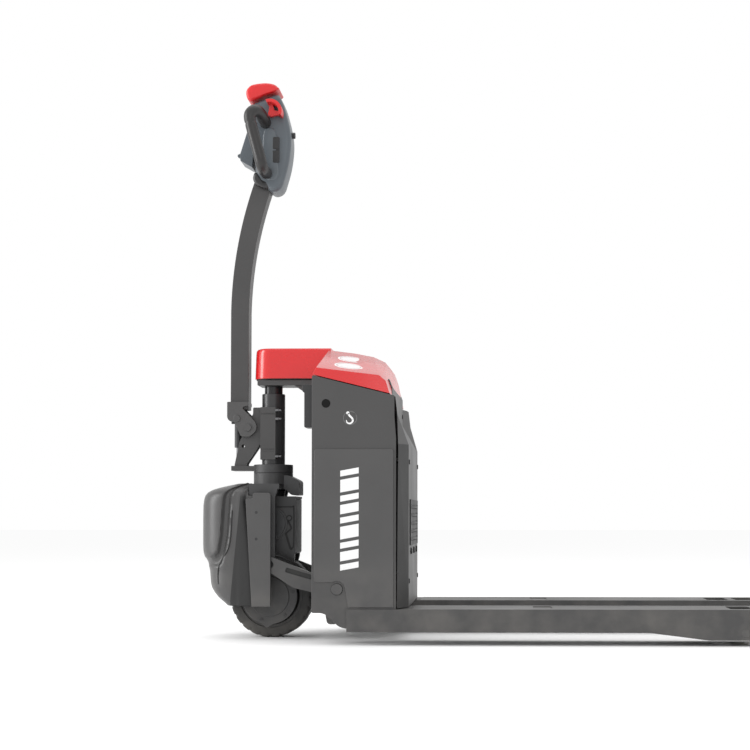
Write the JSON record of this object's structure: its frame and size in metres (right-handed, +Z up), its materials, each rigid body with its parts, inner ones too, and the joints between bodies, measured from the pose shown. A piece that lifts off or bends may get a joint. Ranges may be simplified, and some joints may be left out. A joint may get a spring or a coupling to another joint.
{
  "type": "electric pallet truck",
  "caption": "Walk-behind electric pallet truck: steered drive wheel, tiller with control head, battery box under a red cover, forks on tandem load rollers.",
  "frame": {"origin": "centre of the bounding box's base, on the floor", "axes": "+X along the forks towards their tips, +Y to the left when looking along the forks, +Z up"},
  "size_m": [1.688, 0.55, 1.4205],
  "materials": {
    "dark_steel": "satin powder coat",
    "panel_steel": "satin powder coat",
    "cast_grey": "painted, satin",
    "red_plastic": "moulded, semi-gloss",
    "cover_plastic": "moulded, fine texture",
    "head_plastic": "moulded, fine texture",
    "black_plastic": "moulded",
    "rubber": "matt",
    "tyre": "matt",
    "polyurethane": "satin",
    "bare_steel": "ground",
    "motor_paint": "painted housing"
  },
  "bodies": {
    "chassis": {"left_fork": "dark_steel", "right_fork": "dark_steel", "left_side_plate": "dark_steel", "right_side_plate": "dark_steel", "front_plate": "dark_steel", "back_panel": "panel_steel", "corner_strips": "dark_steel", "side_covers": "panel_steel", "floor_plate": "dark_steel", "top_bracket": "dark_steel", "top_cover": "red_plastic", "battery_pack": "black_plastic", "controller": "motor_paint", "pump_unit": "motor_paint", "hydraulic_hose": "rubber", "piston_rod": "bare_steel", "crank_pins": "bare_steel", "fork_pins": "bare_steel", "vent_grille": "black_plastic", "rubber_bumpers": "rubber", "rubber_plugs": "rubber", "front_box": "black_plastic", "motor_cable": "rubber", "panel_screws": "bare_steel"},
    "carrier": {"crown": "cast_grey", "drive_cover": "cover_plastic", "cover_screws": "bare_steel"},
    "crank": {"bell_crank": "dark_steel"},
    "rods": {"push_rods": "dark_steel"},
    "left_load_frame": {"left_wheel_frame": "cast_grey"},
    "right_load_frame": {"right_wheel_frame": "cast_grey"},
    "left_bogie_body": {"left_bogie": "cast_grey"},
    "right_bogie_body": {"right_bogie": "cast_grey"},
    "left_rear_wheel": {"left_rear_roller": "polyurethane"},
    "left_front_wheel": {"left_front_roller": "polyurethane"},
    "right_rear_wheel": {"right_rear_roller": "polyurethane"},
    "right_front_wheel": {"right_front_roller": "polyurethane"},
    "drive_unit": {"lift_cylinder": "cast_grey", "steering_flange": "cast_grey", "tiller_bracket": "dark_steel", "bracket_bolts": "bare_steel", "gear_case": "cast_grey", "drive_motor": "motor_paint", "gas_spring_rod": "bare_steel", "tiller_pin": "bare_steel"},
    "drive_wheel": {"drive_tyre": "tyre", "drive_hub": "cast_grey"},
    "tiller": {"tiller_tube": "dark_steel", "tiller_clevis": "dark_steel", "head_shell": "head_plastic", "head_band": "black_plastic", "hand_grips": "black_plastic", "display_pod": "head_plastic"},
    "spring_barrel": {"gas_spring_barrel": "dark_steel"},
    "throttle": {"throttle_wings": "red_plastic"},
    "reverser": {"reverse_button": "red_plastic"},
    "left_switch": {"left_rocker": "black_plastic"},
    "right_switch": {"right_rocker": "black_plastic"},
    "horn": {"horn_button": "black_plastic"}
  },
  "joints": [
    {"name": "lift", "type": "slide", "parent": "chassis", "child": "carrier", "axis": [0, 0, -1], "range_m": [0, 0.115], "deforming": ["motor_cable"]},
    {"name": "crank_turn", "type": "hinge", "parent": "chassis", "child": "crank", "pos_m": [-0.477, 0, 0.1335], "axis": [0, -1, 0], "range_deg": [0, 33.25]},
    {"name": "rod_push", "type": "slide", "parent": "chassis", "child": "rods", "axis": [1, 0, 0], "range_m": [0, 0.0424]},
    {"name": "left_frame_swing", "type": "hinge", "parent": "chassis", "child": "left_load_frame", "pos_m": [0.49, 0.195, 0.031], "axis": [0, 1, 0], "range_deg": [0, 65.05]},
    {"name": "left_bogie_level", "type": "hinge", "parent": "left_load_frame", "child": "left_bogie_body", "pos_m": [0.611, 0.195, 0.04], "axis": [0, -1, 0], "range_deg": [0, 65.05]},
    {"name": "left_rear_spin", "type": "hinge", "parent": "left_bogie_body", "child": "left_rear_wheel", "pos_m": [0.561, 0.195, 0.04], "axis": [0, 1, 0], "continuous": true},
    {"name": "left_front_spin", "type": "hinge", "parent": "left_bogie_body", "child": "left_front_wheel", "pos_m": [0.661, 0.195, 0.04], "axis": [0, 1, 0], "continuous": true},
    {"name": "right_frame_swing", "type": "hinge", "parent": "chassis", "child": "right_load_frame", "pos_m": [0.49, -0.195, 0.031], "axis": [0, 1, 0], "range_deg": [0, 65.05]},
    {"name": "right_bogie_level", "type": "hinge", "parent": "right_load_frame", "child": "right_bogie_body", "pos_m": [0.611, -0.195, 0.04], "axis": [0, -1, 0], "range_deg": [0, 65.05]},
    {"name": "right_rear_spin", "type": "hinge", "parent": "right_bogie_body", "child": "right_rear_wheel", "pos_m": [0.561, -0.195, 0.04], "axis": [0, 1, 0], "continuous": true},
    {"name": "right_front_spin", "type": "hinge", "parent": "right_bogie_body", "child": "right_front_wheel", "pos_m": [0.661, -0.195, 0.04], "axis": [0, 1, 0], "continuous": true},
    {"name": "steering", "type": "hinge", "parent": "carrier", "child": "drive_unit", "pos_m": [-0.67, 0, 0.4], "axis": [0, 0, 1], "range_deg": [-90, 90]},
    {"name": "drive_wheel_spin", "type": "hinge", "parent": "drive_unit", "child": "drive_wheel", "pos_m": [-0.67, 0, 0.105], "axis": [0, 1, 0], "continuous": true},
    {"name": "tiller_tilt", "type": "hinge", "parent": "drive_unit", "child": "tiller", "pos_m": [-0.732, 0, 0.534], "axis": [0, -1, 0], "range_deg": [0, 80], "stiffness_Nm_per_rad": 12, "springref_deg": -68.75},
    {"name": "gas_spring_travel", "type": "slide", "parent": "drive_unit", "child": "spring_barrel", "axis": [0, 0, -1], "range_m": [0, 0.0467]},
    {"name": "throttle_turn", "type": "hinge", "parent": "tiller", "child": "throttle", "pos_m": [-0.671, 0, 1.335], "axis": [0, 1, 0], "range_deg": [-25, 25], "stiffness_Nm_per_rad": 0.8},
    {"name": "reverse_press", "type": "slide", "parent": "tiller", "child": "reverser", "axis": [0.3338, 0, -0.9426], "range_m": [0, 0.003], "stiffness_N_per_m": 700, "springref_m": -0.002},
    {"name": "left_rocker_tilt", "type": "hinge", "parent": "tiller", "child": "left_switch", "pos_m": [-0.6595, 0.042, 1.244], "axis": [1, 0, 0], "range_deg": [-4, 4], "stiffness_Nm_per_rad": 0.6},
    {"name": "right_rocker_tilt", "type": "hinge", "parent": "tiller", "child": "right_switch", "pos_m": [-0.6595, -0.042, 1.244], "axis": [1, 0, 0], "range_deg": [-4, 4], "stiffness_Nm_per_rad": 0.6},
    {"name": "horn_press", "type": "slide", "parent": "tiller", "child": "horn", "axis": [-1, 0, 0], "range_m": [0, 0.003], "stiffness_N_per_m": 600, "springref_m": -0.002}
  ],
  "couplings": [
    {"joint": "crank_turn", "follows": "lift", "rad_per_m": 5.0387},
    {"joint": "rod_push", "follows": "lift", "ratio": 0.36696},
    {"joint": "left_frame_swing", "follows": "lift", "rad_per_m": 9.8649},
    {"joint": "left_bogie_level", "follows": "lift", "rad_per_m": 9.8649},
    {"joint": "right_frame_swing", "follows": "lift", "rad_per_m": 9.8649},
    {"joint": "right_bogie_level", "follows": "lift", "rad_per_m": 9.8649},
    {"joint": "gas_spring_travel", "follows": "tiller_tilt", "m_per_rad": 0.033375}
  ]
}
